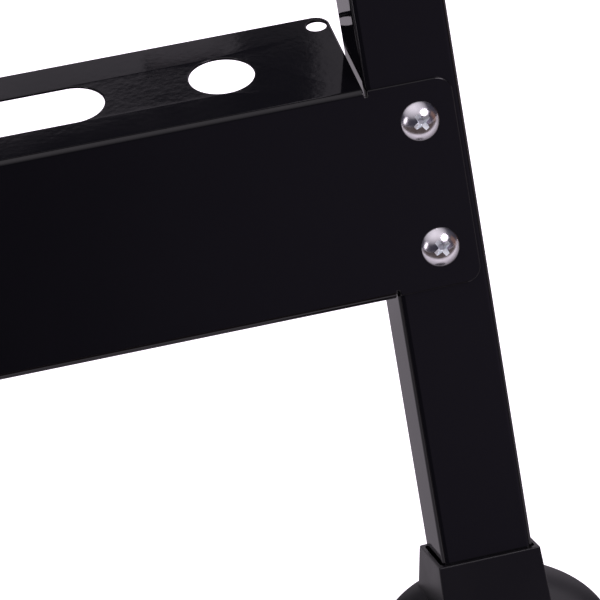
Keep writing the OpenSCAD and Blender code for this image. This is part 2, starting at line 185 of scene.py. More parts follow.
def edges(n):
    """1 along a mesh's sharp edges and 0 elsewhere, broken up by noise: the mask for a painted edge highlight."""
    bevel = n.add("ShaderNodeBevel", samples=4)
    bevel.inputs["Radius"].default_value = 0.0005
    turned_by = n.add("ShaderNodeVectorMath", operation="DOT_PRODUCT")
    n.join(bevel.outputs["Normal"], turned_by.inputs[0])
    n.join(n.add("ShaderNodeNewGeometry").outputs["Normal"], turned_by.inputs[1])
    edge_highlight = n.add("ShaderNodeMath", operation="MULTIPLY")
    n.join(n.spread(turned_by.outputs["Value"], 1, 0, 0.9, 0.995), edge_highlight.inputs[0])
    n.join(n.spread(n.noise(160, 3), 0.2, 1, 0.4, 0.6), edge_highlight.inputs[1])
    return edge_highlight.outputs["Value"]


def powder_coat():
    """Gloss black powder coat: nearly black, with a fine orange peel, and a paler colour painted along its edges
    as a highlight.
    """
    n = Nodes("powder_coat_black")
    tone = n.mix(n.spread(n.noise(9, 3), 0, 1), (0.0029, 0.0027, 0.0036), (0.0044, 0.0041, 0.0054))
    # painted highlight: a paler colour mixed in along the sharp edges
    n.join(n.mix(edges(n), tone, (0.011, 0.0105, 0.0125)), n.shader.inputs["Base Color"])
    n.join(n.spread(n.noise(35, 4), 0.045, 0.08), n.shader.inputs["Roughness"])
    peel = n.bump(n.noise(480, 1.5), 0.00002, 0.3)
    n.join(n.bump(n.noise(90, 1), 0.0001, 0.08, peel), n.shader.inputs["Normal"])
    return n.material


def moulded_plastic():
    """Black moulded plastic with a fine grained skin, and a paler colour painted along its edges as a highlight.
    """
    n = Nodes("moulded_plastic_black")
    tone = n.mix(n.spread(n.noise(14, 3), 0, 1), (0.0032, 0.003, 0.004), (0.005, 0.0047, 0.0062))
    # painted highlight: a paler colour mixed in along the sharp edges, for the light line on the sleeve's corners
    n.join(n.mix(edges(n), tone, (0.035, 0.033, 0.038)), n.shader.inputs["Base Color"])
    n.join(n.spread(n.noise(60, 4), 0.27, 0.33), n.shader.inputs["Roughness"])
    n.join(n.bump(n.noise(1500, 3, 0.6), 0.00003, 0.3), n.shader.inputs["Normal"])
    return n.material


def zinc():
    """Bright zinc plating with faint tumbling marks; a paler colour painted inside the driver recesses as a
    highlight, and rougher there.
    """
    n = Nodes("zinc_bright")
    n.shader.inputs["Metallic"].default_value = 1
    recess = n.add("ShaderNodeAttribute", attribute_name="recess").outputs["Fac"]
    tone = n.mix(n.spread(n.noise(260, 3), 0, 1), (0.76, 0.75, 0.78), (0.88, 0.86, 0.88))
    # painted highlight: the recess faces get a paler, bluish white
    n.join(n.mix(recess, tone, (0.94, 0.98, 1.0)), n.shader.inputs["Base Color"])
    roughness = n.add("ShaderNodeMath", operation="ADD")
    n.join(n.spread(n.noise(700, 4), 0.16, 0.22), roughness.inputs[0])
    n.join(n.spread(recess, 0, 0.24, 0, 1), roughness.inputs[1])
    n.join(roughness.outputs["Value"], n.shader.inputs["Roughness"])
    n.join(n.bump(n.noise(1400, 3), 0.00001, 0.3), n.shader.inputs["Normal"])
    return n.material


def nylon():
    """Natural nylon washers."""
    n = Nodes("nylon_natural")
    tone = n.mix(n.spread(n.noise(120, 3), 0, 1), (0.62, 0.6, 0.53), (0.72, 0.7, 0.64))
    n.join(tone, n.shader.inputs["Base Color"])
    n.join(n.spread(n.noise(300, 3), 0.4, 0.55), n.shader.inputs["Roughness"])
    n.join(n.bump(n.noise(1500, 3), 0.00002, 0.3), n.shader.inputs["Normal"])
    return n.material


FINISH = {
    "coated_steel": powder_coat(),
    "moulded_plastic": moulded_plastic(),
    "zinc_steel": zinc(),
    "nylon": nylon(),
}


def finish_cad_nodes():
    """Gives every CAD node that still shows its slot's finish."""
    slot_of = {part["node"]: part["material_slot"] for part in frame["record"]["subparts"]}
    for name, node in frame["nodes"].items():
        node.data.materials.clear()
        node.data.materials.append(FINISH[slot_of[name]])


finish_cad_nodes()

# ---- Mesh building, in millimetres ----


class Shell:
    """Points in millimetres and faces, gathered from closed shells into one mesh."""

    def __init__(self):
        self.points = []
        self.faces = []
        self.recessed = []  # whether each face is inside a driver recess

    def add(self, points, faces, recessed=None):
        first = len(self.points)
        self.points += [Vector(p) for p in points]
        self.faces += [tuple(first + i for i in face) for face in faces]
        self.recessed += recessed or [False] * len(faces)

    def add_shell(self, other, matrix):
        """Adds a copy of another shell, moved by a matrix that may mirror it."""
        flip = matrix.determinant() < 0
        faces = [tuple(reversed(f)) for f in other.faces] if flip else other.faces
        self.add([matrix @ p for p in other.points], faces, other.recessed)

    def moved(self, matrix):
        shell = Shell()
        shell.add_shell(self, matrix)
        return shell


def loft(loops, closed=False):
    """Joins loops of equally many points. The ends are capped unless the last loop joins the first."""
    shell = Shell()
    count = len(loops[0])
    faces = []
    pairs = len(loops) if closed else len(loops) - 1
    for k in range(pairs):
        a, b = k * count, (k + 1) % len(loops) * count
        faces += [(a + i, a + (i + 1) % count, b + (i + 1) % count, b + i) for i in range(count)]
    if not closed:
        last = (len(loops) - 1) * count
        faces.append(tuple(reversed(range(count))))
        faces.append(tuple(range(last, last + count)))
    shell.add([p for loop in loops for p in loop], faces)
    return shell


def turned(profile, segments=72, shape=None, closed=False):
    """Turns an (r, z) profile about Z. shape(r, z, angle) may change a radius, as for a hexagon or a thread.

    An open profile starts and ends on the axis; a closed one makes a ring.
    """
    rows = [row for row in profile if closed or row[0] > 0]
    loops = []
    for r, z in rows:
        loop = []
        for i in range(segments):
            angle = 2 * math.pi * i / segments
            radius = shape(r, z, angle) if shape else r
            loop.append((radius * math.cos(angle), radius * math.sin(angle), z))
        loops.append(loop)
    if closed:
        return loft(loops, closed=True)
    shell = loft(loops)
    shell.faces, shell.recessed = shell.faces[:-2], shell.recessed[:-2]
    last = len(rows) - 1
    for row, z, order in ((0, profile[0][1], -1), (last, profile[-1][1], 1)):
        first = row * segments
        pole = len(shell.points)
        shell.points.append(Vector((0, 0, z)))
        for i in range(segments):
            face = (first + i, first + (i + 1) % segments, pole)
            shell.faces.append(face[::order])
            shell.recessed.append(False)
    return shell


def arc(centre, radius, start, end, steps):
    """Points on an arc between two angles in degrees, both ends included."""
    points = []
    for i in range(steps + 1):
        angle = math.radians(start + (end - start) * i / steps)
        points.append((centre[0] + radius * math.cos(angle), centre[1] + radius * math.sin(angle)))
    return points


def circle(x, y, r, segments=48):
    """A circle's points, counter-clockwise."""
    return arc((x, y), r, 0, 360 * (segments - 1) / segments, segments - 1)


def rounded(corners, steps=8):
    """An outline through (x, y, radius) corners, each replaced by a fillet of that radius."""
    outline = []
    count = len(corners)
    for i, (x, y, radius) in enumerate(corners):
        here = Vector((x, y))
        before = Vector(corners[i - 1][:2]) - here
        after = Vector(corners[(i + 1) % count][:2]) - here
        a, b = before.normalized(), after.normalized()
        half = a.angle(b) / 2
        if radius <= 0 or half > math.radians(89):
            outline.append((x, y))
            continue
        reach = radius / math.tan(half)
        centre = here + (a + b).normalized() * (radius / math.sin(half))
        start, end = here + a * reach - centre, here + b * reach - centre
        turn = math.atan2(start.x * end.y - start.y * end.x, start.dot(end))
        first = math.atan2(start.y, start.x)
        for k in range(steps + 1):
            angle = first + turn * k / steps
            outline.append((centre.x + radius * math.cos(angle), centre.y + radius * math.sin(angle)))
    return outline


def inset(outline, distance):
    """Moves a counter-clockwise outline's points inwards along their mitres."""
    moved = []
    count = len(outline)
    for i in range(count):
        here = Vector(outline[i])
        d1 = (here - Vector(outline[i - 1])).normalized()
        d2 = (Vector(outline[(i + 1) % count]) - here).normalized()
        n1, n2 = Vector((-d1.y, d1.x)), Vector((-d2.y, d2.x))
        mitre = n1 + n2
        moved.append(here + mitre * (distance * 2 / mitre.length_squared))
    return moved


def plate(outline, holes, thickness, edge, steps=3):
    """A flat plate from Z = 0 down to -thickness, with rounded edges on its outline and its holes.

    The outline runs counter-clockwise and the holes clockwise.
    """
    shell = Shell()
    rings = []
    levels = []
    for k in range(steps + 1):
        turn = math.radians(90) * k / steps
        levels.append((edge * (1 - math.sin(turn)), -edge * (1 - math.cos(turn))))
    levels += [(i, -thickness - z) for i, z in reversed(levels)]
    for loop in [outline, *holes]:
        count = len(loop)
        first = len(shell.points)
        points = [(p[0], p[1], z) for i, z in levels for p in inset(loop, i)]
        faces = []
        for k in range(len(levels) - 1):
            a, b = k * count, (k + 1) * count
            faces += [(a + i, b + i, b + (i + 1) % count, a + (i + 1) % count) for i in range(count)]
        shell.add(points, faces)
        rings.append((first, count))
    for level, flip in ((0, False), (len(levels) - 1, True)):
        loops = [[first + level * count + i for i in range(count)] for first, count in rings]
        order = [i for loop in loops for i in loop]
        triangles = tessellate_polygon([[shell.points[i] for i in loop] for loop in loops])
        for triangle in triangles:
            a, b, c = (order[i] for i in triangle)
            normal = (shell.points[b] - shell.points[a]).cross(shell.points[c] - shell.points[a])
            upward = normal.z > 0
            shell.faces.append((a, b, c) if upward != flip else (c, b, a))
            shell.recessed.append(False)
    return shell


def hole(x, y, r, segments=48):
    """A round hole's points, clockwise."""
    return list(reversed(circle(x, y, r, segments)))


def slot_hole(x0, x1, y, r, steps=24):
    """A round-ended slot between two centres on a line along X, clockwise."""
    return list(reversed(arc((x1, y), r, -90, 90, steps) + arc((x0, y), r, 90, 270, steps)))


def cut_lines(shell, axis, places):
    """Cuts a shell's faces along lines, so that it can be bent there."""
    mesh = bmesh.new()
    verts = [mesh.verts.new(p) for p in shell.points]
    for face in shell.faces:
        mesh.faces.new([verts[i] for i in face])
    normal = [0, 0, 0]
    normal[axis] = 1
    for place in places:
        point = [0, 0, 0]
        point[axis] = place
        everything = mesh.verts[:] + mesh.edges[:] + mesh.faces[:]
        bmesh.ops.bisect_plane(mesh, geom=everything, dist=1e-5, plane_co=point, plane_no=normal)
    mesh.verts.index_update()
    result = Shell()
    result.add([v.co.copy() for v in mesh.verts], [[v.index for v in f.verts] for f in mesh.faces])
    mesh.free()
    return result


class Bend:
    """Bends a blank along its Y: straight runs joined by arcs. The blank's Z = 0 side is the outer one."""

    def __init__(self, start, heading, runs):
        """runs is a list of ("straight", length) and ("arc", outer radius, degrees turned inwards)."""
        self.parts = []
        self.lines = []
        place, s = Vector(start), 0.0
        angle = math.radians(heading)
        for run in runs:
            if run[0] == "straight":
                self.parts.append(("straight", s, s + run[1], place.copy(), angle, 0))
                place += Vector((math.cos(angle), math.sin(angle))) * run[1]
                s += run[1]
                continue
            radius, turn = run[1], math.radians(run[2])
            centre = place + Vector((math.sin(angle), -math.cos(angle))) * radius
            length = radius * turn
            self.parts.append(("arc", s, s + length, centre, angle, radius))
            self.lines += [s + length * k / 10 for k in range(11)]
            angle -= turn
            place = centre + Vector((-math.sin(angle), math.cos(angle))) * radius
            s += length
        self.length = s

    def place(self, s, z):
        """Where a blank's point goes: s along it, z above its outer side."""
        for kind, start, end, point, angle, radius in self.parts:
            if s <= end + 1e-6 or (kind, start) == (self.parts[-1][0], self.parts[-1][1]):
                break
        if kind == "straight":
            along = Vector((math.cos(angle), math.sin(angle)))
            out = Vector((-math.sin(angle), math.cos(angle)))
            return point + along * (s - start) + out * z
        turned_by = angle - (s - start) / radius
        return point + Vector((-math.sin(turned_by), math.cos(turned_by))) * (radius + z)


# ---- Pieces ----


def add_piece(name, shell, body, slot, nodes):
    """Makes one object of a shell in the row frame, finishes it and rides it on a body."""
    mesh = bpy.data.meshes.new(name)
    mesh.from_pydata([p * MM for p in shell.points], [], shell.faces)
    if any(shell.recessed):
        marks = mesh.attributes.new("recess", "FLOAT", "FACE")
        marks.data.foreach_set("value", [float(inside) for inside in shell.recessed])
    work = bmesh.new()
    work.from_mesh(mesh)
    bmesh.ops.remove_doubles(work, verts=work.verts[:], dist=1e-7)
    bmesh.ops.recalc_face_normals(work, faces=work.faces[:])
    work.to_mesh(mesh)
    work.free()
    mesh.shade_smooth()
    mesh.set_sharp_from_angle(angle=SHARP_ANGLE)
    mesh.materials.append(FINISH[slot])
    piece = bpy.data.objects.new(name, mesh)
    bpy.context.scene.collection.objects.link(piece)
    weighted = piece.modifiers.new("weighted", "WEIGHTED_NORMAL")
    weighted.weight = 100
    weighted.keep_sharp = True
    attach(piece, body)
    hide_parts(*nodes)
    return piece


def mirrored(axis):
    """Mirrors along X (0), Y (1) or Z (2)."""
    scale = [1, 1, 1]
    scale[axis] = -1
    return Matrix.Diagonal((*scale, 1))


# (side name, body, what moves a front piece there)
SIDES = (("front", "front_frame", Matrix.Identity(4)), ("rear", "rear_frame", mirrored(1)))
ENDS = (("left", -1), ("right", 1))


def tube_outline(grow, steps=8):
    """The leg tube's outline grown by a margin, centred."""
    w, d, r = LEG_W / 2 + grow, LEG_T / 2 + grow, max(LEG_R + grow, 0.3)
    return rounded([(-w, -d, r), (w, -d, r), (w, d, r), (-w, d, r)], steps)


def facing(axis, sign=1):
    """Turns a shape drawn in X and Y so that its Z points along another axis."""
    if axis == "X":
        turn = Matrix(((0, 0, 1), (1, 0, 0), (0, 1, 0)))
        return (turn if sign > 0 else Matrix.Rotation(math.pi, 3, "Z") @ turn).to_4x4()
    return Matrix.Rotation(math.radians(90) * sign, 4, "X")


def at(x, y, z):
    return Matrix.Translation((x, y, z))


def add_shelves():
    """One bent sheet on each frame: lip, web, flange with its holes, and a tab on each leg."""
    up = math.radians(90) - SPLAY
    web_foot = LIP_D - 2 * BEND_R + BEND_R * math.pi / 2 + WEB_DIP
    half, tab = INNER_X - FLANGE_GAP, OUTER_X - TAB_INSET
    bend_top = WEB_H + BEND_R * ((1 - math.sin(SPLAY)) * math.tan(SPLAY) - math.cos(SPLAY))
    tangent = math.hypot(BEND_R * (1 - math.sin(SPLAY)), WEB_H - bend_top - BEND_R * math.cos(SPLAY))
    bend = Bend(
        (WEB_FRONT + LIP_D, -WEB_DIP),
        180,
        [
            ("straight", LIP_D - BEND_R),
            ("arc", BEND_R, 90),
            ("straight", bend_top - BEND_R + WEB_DIP),
            ("arc", BEND_R, math.degrees(up)),
            ("straight", FLANGE_D - tangent),
        ],
    )
    flange_start = web_foot + bend_top + BEND_R * up - tangent
    web_top = web_foot + WEB_H
    side = [
        (half, 0, LIP_CORNER_R),
        (half, web_foot + RELIEF_H, RELIEF_R),
        (half + RELIEF_W, web_foot + RELIEF_H, RELIEF_R),
        (half + RELIEF_W, web_foot, TAB_INNER_R),
        (tab, web_foot, TAB_R),
        (tab, web_top, TAB_R),
        (half + RELIEF_W, web_top, TAB_INNER_R),
        (half + RELIEF_W, web_top - RELIEF_H, RELIEF_R),
        (half, web_top - RELIEF_H, RELIEF_R),
        (half, bend.length, TAB_R),
    ]
    outline = rounded(side + [(-x, s, r) for x, s, r in reversed(side)])
    row = flange_start + TOOL_HOLE_Y
    near = INNER_X - SLOT_X - TOOL_HOLE_R
    far = near - SLOT_LEN + 2 * TOOL_HOLE_R
    holes = [hole(0, row, TOOL_HOLE_R, 96)]
    holes += [slot_hole(x0, x1, row, TOOL_HOLE_R) for x0, x1 in ((far, near), (-near, -far))]
    for _, end in ENDS:
        holes.append(hole(end * (INNER_X - TOOL_HOLE_X), row, TOOL_HOLE_R, 96))
        holes.append(hole(end * (INNER_X - CORNER_HOLE[0]), flange_start + CORNER_HOLE[1], CORNER_HOLE_R))
        for height in SCREW_HEIGHTS:
            holes.append(hole(end * (LEG_X + SCREW_OFFSET), web_foot + height, SCREW_HOLE_R))
    blank = cut_lines(plate(outline, holes, SHEET, SHEET_EDGE), 1, bend.lines)
    for point in blank.points:
        x, s, z = point
        on_tab = abs(x) > half + RELIEF_W / 2
        y, up_leg = (WEB_FRONT - z, s - web_foot) if on_tab else bend.place(s, z)
        point.xyz = x, y, up_leg
    for name, body, place in SIDES:
        shell = blank.moved(place @ leg_frame() @ at(0, 0, -WEB_DROP))
        add_piece(f"tool_shelf_{name}", shell, body, "coated_steel", [f"shelf_{name}"])


def boolean(first, second, operation):
    """The exact union or difference of two closed shells."""
    objects = []
    for shell in (first, second):
        mesh = bpy.data.meshes.new("work")
        mesh.from_pydata(shell.points, [], shell.faces)
        work = bmesh.new()
        work.from_mesh(mesh)
        bmesh.ops.remove_doubles(work, verts=work.verts[:], dist=1e-5)
        bmesh.ops.recalc_face_normals(work, faces=work.faces[:])
        work.to_mesh(mesh)
        work.free()
        objects.append(bpy.data.objects.new("work", mesh))
        bpy.context.scene.collection.objects.link(objects[-1])
    modifier = objects[0].modifiers.new("cut", "BOOLEAN")
    modifier.operation = operation
    modifier.solver = "EXACT"
    modifier.object = objects[1]
    mesh = objects[0].evaluated_get(bpy.context.evaluated_depsgraph_get()).to_mesh()
    result = Shell()
    result.add([v.co.copy() for v in mesh.vertices], [tuple(f.vertices) for f in mesh.polygons])
    for made in objects:
        data = made.data
        bpy.data.objects.remove(made)
        bpy.data.meshes.remove(data)
    return result


def dome_ball(width, height):
    """The radius of a domed head's spherical cap."""
    cap = height - HEAD_RIM
    return (width * width / 4 + cap * cap) / (2 * cap)


def dome_profile(width, height, steps):
    """(r, z) rows of a domed head: a short upright rim, softened at both edges, under a spherical cap."""
    ball = dome_ball(width, height)
    outer = width / 2
    start = math.asin(outer / ball)
    rows = [(outer - 0.15, 0), (outer, 0.12), (outer, HEAD_RIM - 0.08), (outer - 0.06, HEAD_RIM + 0.03)]
    for k in range(1, steps + 1):
        angle = start * (1 - k / steps)
        rows.append((ball * math.sin(angle), height - ball + ball * math.cos(angle)))
    return rows


def thread(start, end, pitch, depth):
    """A radius change that cuts a screw thread between two heights."""

    def shape(r, z, angle):
        if not start <= z <= end or r <= 0:
            return r
        turn = (z / pitch - angle / (2 * math.pi)) % 1
        fade = min(1, (z - start) / pitch, (end - z) / pitch)
        return r - depth * fade * (1 - abs(2 * turn - 1))

    return shape


def threaded_end(radius, tail, bevel, length, steps):
    """(r, z) rows of a shank's bevelled end and of a stretch above it, close enough together for a thread."""
    start, end = tail + bevel + 0.1, tail + length
    rows = [(0, tail), (radius - bevel, tail), (radius, tail + bevel)]
    return rows + [(radius, start + (end - start) * k / steps) for k in range(steps + 1)]


def hexed(flats):
    """A radius change that trims a turned blank to a hexagon."""

    def shape(r, z, angle):
        off = (angle + math.pi / 6) % (math.pi / 3) - math.pi / 6
        return min(r, flats / 2 / math.cos(off))

    return shape


def recess_cutter():
    """A cross-recess driver's point about the top of the head: four tapered wings on a blunt end."""
    loops = []
    for z, reach, wing in RECESS_LEVELS:
        corner = wing * 1.2
        quarter = [(reach, -wing), (reach, wing), (corner, corner)]
        loop = []
        for turn in range(4):
            c, s = math.cos(turn * math.pi / 2), math.sin(turn * math.pi / 2)
            loop += [(x * c - y * s, x * s + y * c, z) for x, y in quarter]
        loops.append(loop)
    return loft(loops)


def mark_recess(screw):
    """Marks the faces of a screw that lie below its dome, near its axis."""
    ball = dome_ball(HEAD_D, HEAD_H)
    dome_centre = Vector((0, 0, HEAD_H - ball))
    for i, face in enumerate(screw.faces):
        middle = sum((screw.points[k] for k in face), Vector()) / len(face)
        in_head = middle.z > HEAD_RIM and middle.xy.length < HEAD_D * RECESS_SHARE
        screw.recessed[i] = in_head and ball - (middle - dome_centre).length > 0.05


def add_screws():
    """Cross-recess screws right through tab and tube, with their nuts behind the leg."""
    bevel = 0.7
    tail = -SHEET - LEG_T - SCREW_NUT_H - TAIL
    rows = threaded_end(SCREW_R, tail, bevel, SCREW_THREAD_LEN, 72)
    rows += [(SCREW_R, -0.2), (HEAD_D / 2 - 0.25, 0), *dome_profile(HEAD_D, HEAD_H, 20)[1:]]
    screw = turned(rows, 96, thread(tail + bevel, tail + SCREW_THREAD_LEN, SCREW_PITCH, SCREW_THREAD))
    cutter = recess_cutter().moved(at(0, 0, HEAD_H) @ Matrix.Rotation(RECESS_TURN, 4, "Z"))
    screw = boolean(screw, cutter, "DIFFERENCE")
    mark_recess(screw)
    nut_rows = hex_nut_profile(SCREW_NUT_FLATS, SCREW_NUT_H, SCREW_R)
    nut = turned(nut_rows, 72, hexed(SCREW_NUT_FLATS), closed=True)
    for name, body, place in SIDES:
        screws, nuts = Shell(), Shell()
        for _, end in ENDS:
            for height in SCREW_HEIGHTS:
                seat = at(end * (LEG_X + SCREW_OFFSET), -LEG_T / 2, height - WEB_DROP) @ facing("Y")
                screws.add_shell(screw, place @ leg_frame() @ seat @ at(0, 0, SHEET))
                nuts.add_shell(nut, place @ leg_frame() @ seat @ at(0, 0, -LEG_T - SCREW_NUT_H))
        add_piece(f"dome_screws_{name}", screws, body, "zinc_steel", [f"shelf_screws_{name}"])
        add_piece(f"hex_nuts_{name}", nuts, body, "zinc_steel", [f"shelf_nuts_{name}"])


def hex_nut_profile(flats, height, bore, sink=0.5):
    """(r, z) rows of a nut blank: chamfered outside, countersunk bore."""
    face = flats / 2 * 0.95
    to_corner = flats / math.sqrt(3) - face
    outside = [(face + to_corner * k / 4, to_corner * 0.6 * k / 4) for k in range(5)]
    top = [(r, height - z) for r, z in reversed(outside)]
    return [(bore + sink, 0), *outside, *top, (bore + sink, height), (bore, height - sink), (bore, sink)]


def lock_nut_profile():
    """(r, z) rows of a lock nut: a hexagon above Z = 0 and a collar around its insert below."""
    outer, edge, mouth, insert = LOCK_COLLAR_R, 0.4, BOLT_R + 0.6, -1.2
    collar = [(BOLT_R, insert), (mouth, insert), (mouth, -LOCK_COLLAR_H), (outer - edge, -LOCK_COLLAR_H)]
    collar += [(outer, edge - LOCK_COLLAR_H), (outer, 0)]
    return [*hex_nut_profile(HEX_FLATS, PIVOT_NUT_H - LOCK_COLLAR_H, BOLT_R)[1:-1], *collar]


def hex_head_rows(flats, seat, height, washer_face=0.35, dish=0.25):
    """(r, z) rows of a bolt's hexagon head: a washer face, a chamfered top and a shallow dish in it."""
    chamfer_r, chamfer_h = 1.35, 1.1
    corner, face, top = flats / math.sqrt(3), flats * 0.45, seat + height
    rows = [(face, seat), (face, seat + washer_face), (corner, seat + washer_face)]
    rows += [(corner - chamfer_r * k / 4, top - chamfer_h * (4 - k) / 4) for k in range(5)]
    return rows + [(flats * 0.38, top), (flats * 0.34, top - dish), (0, top - dish)]


def ring_profile(outer, bore, height, edge, bore_edge=0):
    """(r, z) rows of a flat ring with bevelled edges; its bore may be bevelled too."""
    rows = [(outer - edge, 0), (outer, edge), (outer, height - edge), (outer - edge, height)]
    if not bore_edge:
        return rows + [(bore, height), (bore, 0)]
    rows += [(bore + bore_edge, height), (bore, height - bore_edge)]
    return rows + [(bore, bore_edge), (bore + bore_edge, 0)]


def add_pivots():
    """Bolt, lock nut and two nylon washers at each leg pivot."""
    bevel = 0.8
    seat = EAR_GAP / 2 + BRACKET_T
    tail = -seat - PIVOT_NUT_H - TAIL
    rows = threaded_end(BOLT_R, tail, bevel, BOLT_THREAD_LEN - 0.1, 84)
    rows += [(BOLT_R, seat - 0.1), *hex_head_rows(HEX_FLATS, seat, BOLT_HEAD_H)]
    cut = thread(tail + bevel, tail + BOLT_THREAD_LEN, BOLT_PITCH, BOLT_THREAD)
    trim = hexed(HEX_FLATS)
    bolt = turned(rows, 96, lambda r, z, a: trim(r, z, a) if z > seat else cut(r, z, a))
    nut = turned(lock_nut_profile(), 72, trim, closed=True)
    washer_rows = ring_profile(WASHER_D / 2, WASHER_BORE_R, WASHER_T, WASHER_EDGE, WASHER_EDGE)
    washer = turned(washer_rows, 72, closed=True)
    bolts, nuts, washers = Shell(), Shell(), Shell()
    for _, end in ENDS:
        for y in (PIVOT.y, -PIVOT.y):
            place = at(end * LEG_X, y, PIVOT.z) @ Matrix.Rotation(math.radians(90) * end, 4, "Y")
            bolts.add_shell(bolt, place)
            nuts.add_shell(nut, place @ at(0, 0, -seat - PIVOT_NUT_H + LOCK_COLLAR_H))
            for side in (-1, 1):
                washers.add_shell(washer, place @ at(0, 0, side * (EAR_GAP - WASHER_T) / 2 - WASHER_T / 2))
    add_piece("hinge_bolts", bolts, "top", "zinc_steel", ["pivot_bolts"])
    add_piece("lock_nuts", nuts, "top", "zinc_steel", ["pivot_nuts"])
    add_piece("nylon_washers", washers, "top", "nylon", ["pivot_washers"])


def channel_bend(start, wall, width, radius):
    """A sheet bent into an upside-down channel: two walls and the top between them."""
    side, corner = ("straight", wall - radius), ("arc", radius, 90)
    return Bend(start, 90, [side, corner, ("straight", width - 2 * radius), corner, side])


def add_beam():
    """The channel beam with its notches and board holes."""
    half = BEAM_LEN / 2
    bend = channel_bend((-BEAM_W / 2, TOP_Z - BEAM_H), BEAM_H, BEAM_W, BEAM_R)
    notch = []
    for _, end in ENDS:
        x0, x1 = end * LEG_X - NOTCH_W / 2, end * LEG_X + NOTCH_W / 2
        notch += [(x0, 0, BEAM_CORNER_R), (x0, NOTCH_H, NOTCH_R)]
        notch += [(x1, NOTCH_H, NOTCH_R), (x1, 0, BEAM_CORNER_R)]
    lower = [(-half, 0, BEAM_CORNER_R), *notch, (half, 0, BEAM_CORNER_R)]
    outline = rounded(lower + [(-x, bend.length - s, r) for x, s, r in lower], 5)
    middle = bend.length / 2
    holes = [hole(x * BOARD_DX / 2, middle + y * BOARD_DY / 2, BOARD_R) for x in (-1, 1) for y in (-1, 1)]
    beam = cut_lines(plate(outline, holes, BEAM_SHEET, BEAM_EDGE), 1, bend.lines)
    for point in beam.points:
        y, z = bend.place(point.y, point.z)
        point.yz = y, z
    add_piece("channel_beam", beam, "top", "coated_steel", ["top_beam"])


def add_brackets():
    """Two hinge brackets: each a channel whose ears carry both leg pivots, scooped out between them."""
    half_gap, ear, reach = EAR_GAP / 2 + BRACKET_T, EAR_R, -PIVOT.y
    low = PIVOT.z - ear
    bend = channel_bend((-half_gap, low), TOP_Z - BEAM_SHEET - low, 2 * half_gap, BRACKET_BEND_R)
    lower = arc((-reach, ear), ear, 180, 270, 16)
    lower += arc((0, ear / 2), ear, 210, -30, 32)
    lower += arc((reach, ear), ear, 270, 360, 16)
    outline = lower + [(-x, bend.length - s) for x, s in lower]
    holes = [hole(x, s, BRACKET_HOLE_R) for x in (-reach, reach) for s in (ear, bend.length - ear)]
    bracket = cut_lines(plate(outline, holes, BRACKET_T, BRACKET_EDGE), 1, bend.lines)
    for point in bracket.points:
        x, z = bend.place(point.y, point.z)
        point.xyz = x, -point.x, z
    for name, end in ENDS:
        shell = bracket.moved(at(end * LEG_X, 0, 0))
        add_piece(f"ear_bracket_{name}", shell, "top", "coated_steel", [f"hinge_bracket_{name}"])


def add_caps():
    """The beam's moulded ends: a rounded face and the rim that goes into the channel."""
    w, low = BEAM_W / 2, TOP_Z - BEAM_H
    corners = ((-w, low), (w, low), (w, TOP_Z), (-w, TOP_Z))
    face = plate(rounded([(x, z, BEAM_R) for x, z in corners]), [], CAP_T, CAP_EDGE, 5)
    rim_w, rim_top, rim_r = w - BEAM_SHEET - CAP_CLEAR, TOP_Z - BEAM_SHEET - CAP_CLEAR, BEAM_R - BEAM_SHEET
    inner_w, inner_top = rim_w - CAP_T, rim_top - CAP_T
    right = [(inner_w, inner_top, CAP_EDGE), (inner_w, low, RIM_CORNER_R)]
    right += [(rim_w, low, RIM_CORNER_R), (rim_w, rim_top, rim_r)]
    rim = rounded(right + [(-x, z, r) for x, z, r in reversed(right)], 4)
    skirt = plate(rim, [], CAP_DEPTH + CAP_SINK, RIM_EDGE)
    for name, end in ENDS:
        mirror_end = Matrix.Identity(4) if end > 0 else mirrored(0)
        place = mirror_end @ at(BEAM_LEN / 2, 0, 0) @ facing("X")
        cap = face.moved(place @ at(0, 0, CAP_T))
        cap.add_shell(skirt, place @ at(0, 0, CAP_SINK))
        add_piece(f"end_cap_{name}", cap, "top", "moulded_plastic", [f"beam_cap_{name}"])


def foot_base():
    """The round base: tread grooves in a flat sole, a softened rim and a shallow dome."""
    rows = [(0, 0)]
    for r in TREAD_RADII:
        floor = TREAD_HALF - TREAD_DRAFT
        rows += [(r - TREAD_HALF, 0), (r - floor, TREAD_DEPTH), (r + floor, TREAD_DEPTH), (r + TREAD_HALF, 0)]
    rows += [(FOOT_R - 0.8, 0), (FOOT_R - 0.2, 0.25), (FOOT_R, 0.9), (FOOT_R, FOOT_RIM - 0.5)]
    rows += [(FOOT_R - 0.12, FOOT_RIM - 0.05), (FOOT_R - 0.45, FOOT_RIM + 0.25)]
    ball = (FOOT_R**2 + FOOT_DOME**2) / (2 * FOOT_DOME)
    lean = math.asin(FOOT_R / ball)
    for k in range(1, 25):
        angle = lean * (1 - k / 24)
        rows.append((ball * math.sin(angle), FOOT_RIM + FOOT_DOME - ball + ball * math.cos(angle)))
    return turned(rows, 128)


def box_outline(half_w, half_d, radius):
    """A rounded rectangle about the origin."""
    corners = ((-half_w, -half_d), (half_w, -half_d), (half_w, half_d), (-half_w, half_d))
    return rounded([(x, y, radius) for x, y in corners])


def leg_loop(grow_x, grow_y, z, radius):
    """A rounded loop around the open front right leg, grown past the tube's sides, at a height along it."""
    outline = box_outline(LEG_W / 2 + grow_x, LEG_T / 2 + grow_y, radius)
    return [leg_frame() @ Vector((LEG_X + x, y, z)) for x, y in outline]


